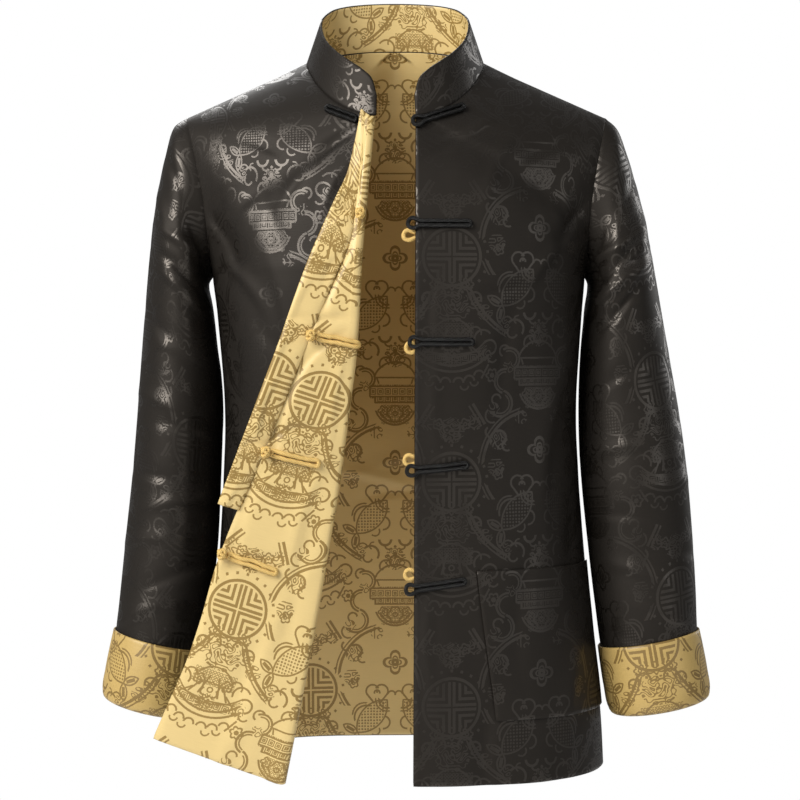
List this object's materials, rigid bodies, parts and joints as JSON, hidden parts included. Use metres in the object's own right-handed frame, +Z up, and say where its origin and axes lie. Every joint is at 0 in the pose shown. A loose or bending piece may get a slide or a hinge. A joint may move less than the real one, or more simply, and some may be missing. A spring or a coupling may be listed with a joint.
{
  "type": "tang suit jacket",
  "caption": "Reversible stand-collar jacket in worn shape, open at the front with one side turned back, straight cord frogs, turned-back cuffs and a patch pocket.",
  "frame": {"origin": "midway between the two points where a shoulder seam meets the collar, where the wearer's shoulders carry the jacket", "axes": "+Z up, towards the collar; -Y out of the jacket's front; +X to the viewer's right as the front is seen, which is the wearer's left"},
  "size_m": [0.6283, 0.2885, 0.7914],
  "materials": {
    "black_brocade": "black silk brocade with a woven tone-on-tone pattern, soft satin sheen",
    "gold_brocade": "gold silk brocade with an olive-brown woven pattern, satin sheen",
    "ochre_brocade": "ochre-gold silk brocade of the turned-back cuffs, satin sheen",
    "black_cord": "black braided cord",
    "gold_cord": "gold braided cord"
  },
  "bodies": {
    "root": {"back": "black_brocade", "front_left": "black_brocade", "collar": "black_brocade", "sleeve_left": "black_brocade", "sleeve_right": "black_brocade", "pocket": "black_brocade", "front_right": "gold_brocade", "underlap": "gold_brocade", "cuff_left": "ochre_brocade", "cuff_right": "ochre_brocade", "cord_black_1": "black_cord", "loop_black_1": "black_cord", "loop_black_2": "black_cord", "loop_black_3": "black_cord", "loop_black_4": "black_cord", "loop_black_5": "black_cord", "cord_gold_2": "gold_cord", "cord_gold_3": "gold_cord", "cord_gold_4": "gold_cord", "knot_gold_1": "gold_cord", "knot_gold_2": "gold_cord", "knot_gold_3": "gold_cord", "knot_gold_4": "gold_cord", "loop_gold_1": "gold_cord", "loop_gold_2": "gold_cord", "loop_gold_3": "gold_cord", "loop_gold_4": "gold_cord"}
  },
  "joints": []
}
